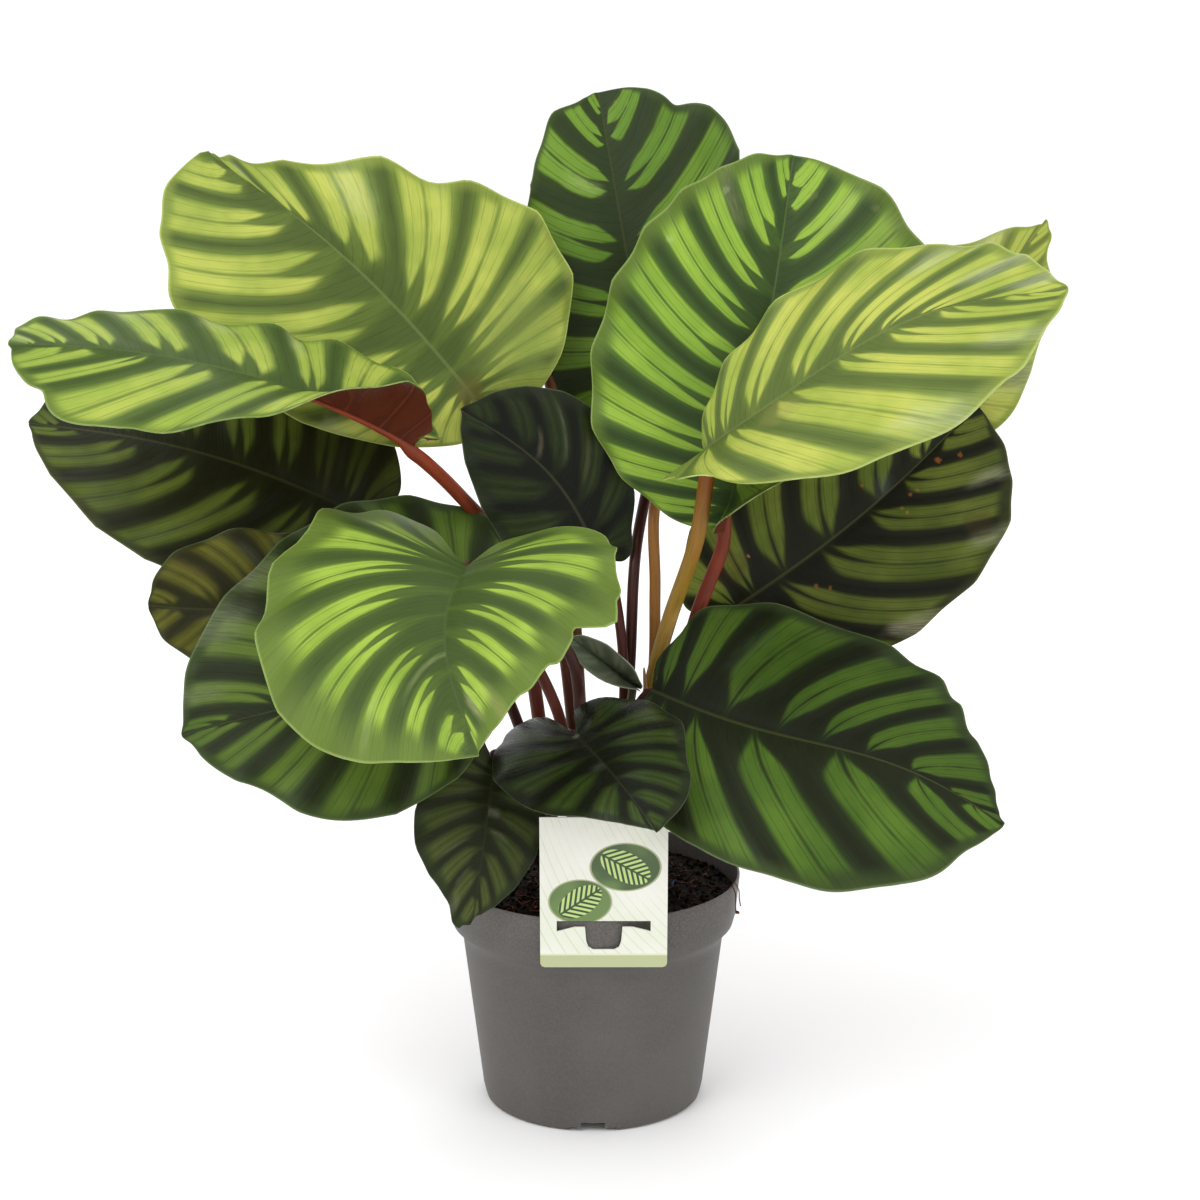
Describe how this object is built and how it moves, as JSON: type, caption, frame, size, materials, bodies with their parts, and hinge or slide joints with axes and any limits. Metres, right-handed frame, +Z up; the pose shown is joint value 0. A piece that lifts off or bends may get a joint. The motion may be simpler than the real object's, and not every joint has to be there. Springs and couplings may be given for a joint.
{
  "type": "potted fasciata calathea",
  "caption": "Potted foliage plant with broad striped wavy leaves on long stalks, in a tapered round nursery pot with a hang-on label card.",
  "frame": {"origin": "middle of the pot's flat underside", "axes": "+Z up, -Y towards the side that the label card hangs on, +X to its right as seen from there"},
  "size_m": [0.5991, 0.4046, 0.5763],
  "materials": {
    "pot_plastic": "fine satin, slightly dusty",
    "potting_soil": "loose and matte",
    "card": "printed, slightly glossy",
    "leaf_bright": "waxy satin with light and dark bands",
    "leaf_dark": "waxy satin with dark bands",
    "stalk_red": "smooth satin",
    "stalk_dark": "smooth satin",
    "stalk_olive": "smooth satin",
    "shoot_pink": "smooth matte"
  },
  "bodies": {
    "root": {"pot": "pot_plastic", "soil": "potting_soil", "label_card": "card", "blade_top_left": "leaf_bright", "petiole_top_left": "stalk_red", "blade_side_left": "leaf_bright", "petiole_side_left": "stalk_red", "blade_mid_left": "leaf_dark", "petiole_mid_left": "stalk_dark", "blade_small_left": "leaf_dark", "petiole_small_left": "stalk_dark", "blade_low_left": "leaf_dark", "petiole_low_left": "stalk_red", "blade_front": "leaf_bright", "petiole_front": "stalk_dark", "blade_centre": "leaf_dark", "petiole_centre": "stalk_dark", "blade_top_back": "leaf_bright", "petiole_top_back": "stalk_dark", "blade_top_right": "leaf_bright", "petiole_top_right": "stalk_red", "blade_side_right": "leaf_bright", "petiole_side_right": "stalk_red", "blade_far_right": "leaf_bright", "petiole_far_right": "stalk_olive", "blade_mid_right": "leaf_dark", "petiole_mid_right": "stalk_olive", "blade_low_right": "leaf_dark", "petiole_low_right": "stalk_dark", "blade_front_low": "leaf_dark", "petiole_front_low": "stalk_dark", "blade_rim_left": "leaf_dark", "petiole_rim_left": "stalk_dark", "blade_back_left": "leaf_bright", "petiole_back_left": "stalk_olive", "blade_back_middle": "leaf_bright", "petiole_back_middle": "stalk_olive", "blade_back_right": "leaf_dark", "petiole_back_right": "stalk_dark", "blade_young": "leaf_dark", "petiole_young": "stalk_olive", "new_shoot": "shoot_pink"}
  },
  "joints": []
}
